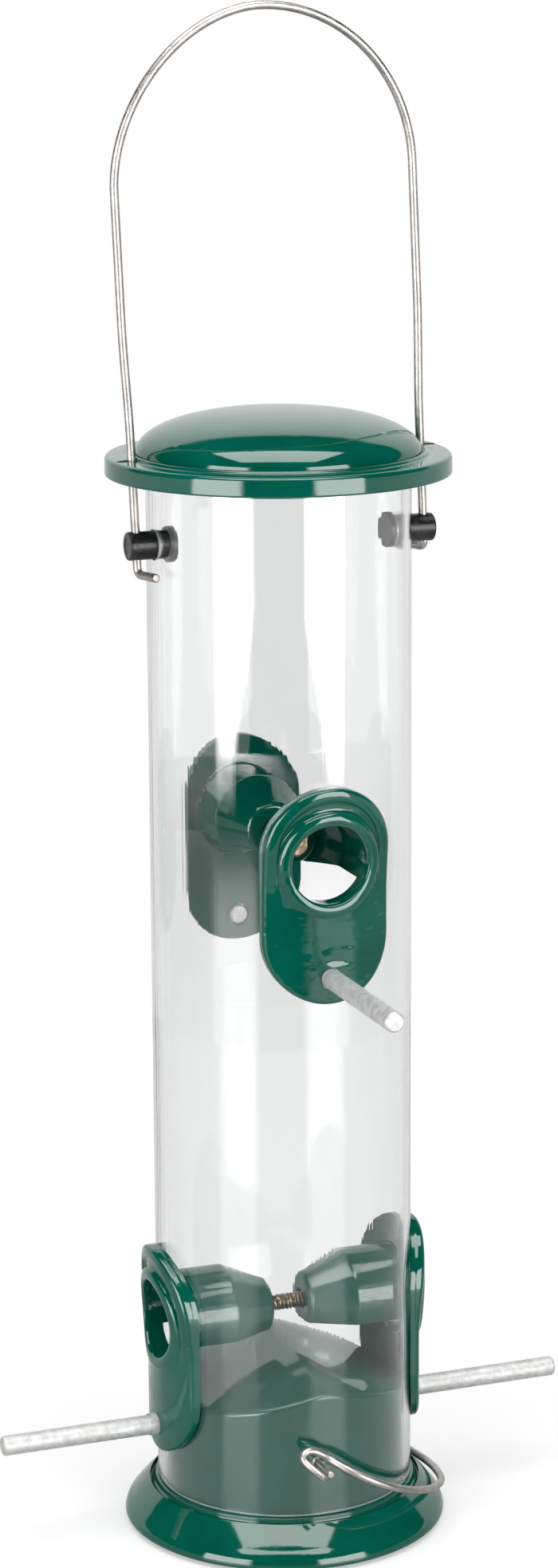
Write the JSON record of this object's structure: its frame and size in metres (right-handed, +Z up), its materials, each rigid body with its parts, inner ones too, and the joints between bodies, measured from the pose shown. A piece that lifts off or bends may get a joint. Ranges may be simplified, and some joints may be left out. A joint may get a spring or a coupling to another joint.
{
  "type": "bird feeder",
  "caption": "Hanging tube bird feeder: clear tube, domed cast lid, cast ports with perches, flared cast base, wire bail and a wire locking clip.",
  "frame": {"origin": "centre of the base's underside, on the tube's axis", "axes": "+Z up the tube; the lower ports and the bail's legs lie along X; the upper front port faces -Y"},
  "size_m": [0.1476, 0.1476, 0.3741],
  "materials": {
    "green_enamel": "glossy deep green enamel over cast metal",
    "clear_tube": "clear, polished, as clear plastic tube",
    "steel_wire": "drawn bright wire",
    "black_plastic": "satin black moulding",
    "brass": "dull threaded rod",
    "aluminium": "sawn and tumbled rod"
  },
  "bodies": {
    "feeder": {"tube": "clear_tube", "base": "green_enamel", "port_upper_front": "green_enamel", "port_upper_back": "green_enamel", "port_lower_right": "green_enamel", "port_lower_left": "green_enamel", "perch_upper_front": "aluminium", "perch_upper_back": "aluminium", "perch_lower_right": "aluminium", "perch_lower_left": "aluminium", "peg_left": "black_plastic", "peg_right": "black_plastic", "screw_upper": "brass", "screw_lower": "brass"},
    "lid": {"lid": "green_enamel"},
    "bail": {"bail": "steel_wire"},
    "clip": {"clip": "steel_wire"}
  },
  "joints": [
    {"name": "lid_lift", "type": "slide", "parent": "feeder", "child": "lid", "axis": [-0.0419, 0, 0.9991], "range_m": [0, 0.045]},
    {"name": "bail_slide", "type": "slide", "parent": "feeder", "child": "bail", "axis": [-0.0419, 0, 0.9991], "range_m": [-0.016, 0]},
    {"name": "clip_swing", "type": "hinge", "parent": "feeder", "child": "clip", "pos_m": [-0.0028, 0, 0.0249], "axis": [0, -1, 0], "range_deg": [0, 20]}
  ]
}
